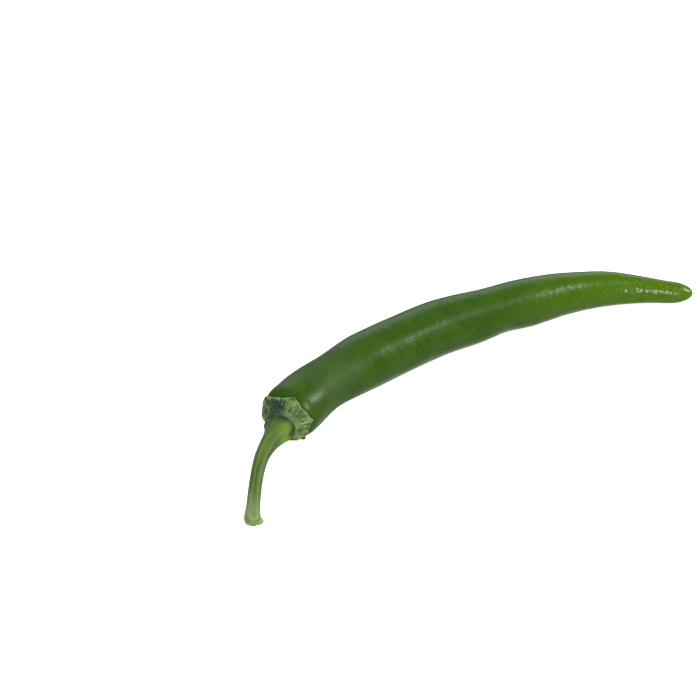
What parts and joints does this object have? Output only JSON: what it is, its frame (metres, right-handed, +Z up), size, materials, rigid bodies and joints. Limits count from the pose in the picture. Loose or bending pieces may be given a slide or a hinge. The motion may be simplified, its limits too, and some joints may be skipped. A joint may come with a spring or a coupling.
{
  "type": "chilli pepper",
  "caption": "Long, slender green chilli pepper, gently curved and tapering to a blunt tip, lying on its side with its calyx and cut stem, for use as food or in cooking.",
  "frame": {"origin": "under the middle of the whole chilli, on the surface it lies on", "axes": "+X along the chilli towards the pod's tip, +Y towards the outside of its bend, +Z up"},
  "size_m": [0.1772, 0.0546, 0.018],
  "materials": {
    "pod_skin": "smooth, waxy, glossy plant skin, deep green, yellower towards the tip",
    "calyx": "dull, leathery, finely wrinkled dark green, with a pale rim and dry brown tooth tips",
    "stem": "fresh green stalk, satin, with low ridges along it and a paler cut foot"
  },
  "bodies": {
    "root": {"pod": "pod_skin", "calyx": "calyx", "stem": "stem"}
  },
  "joints": []
}
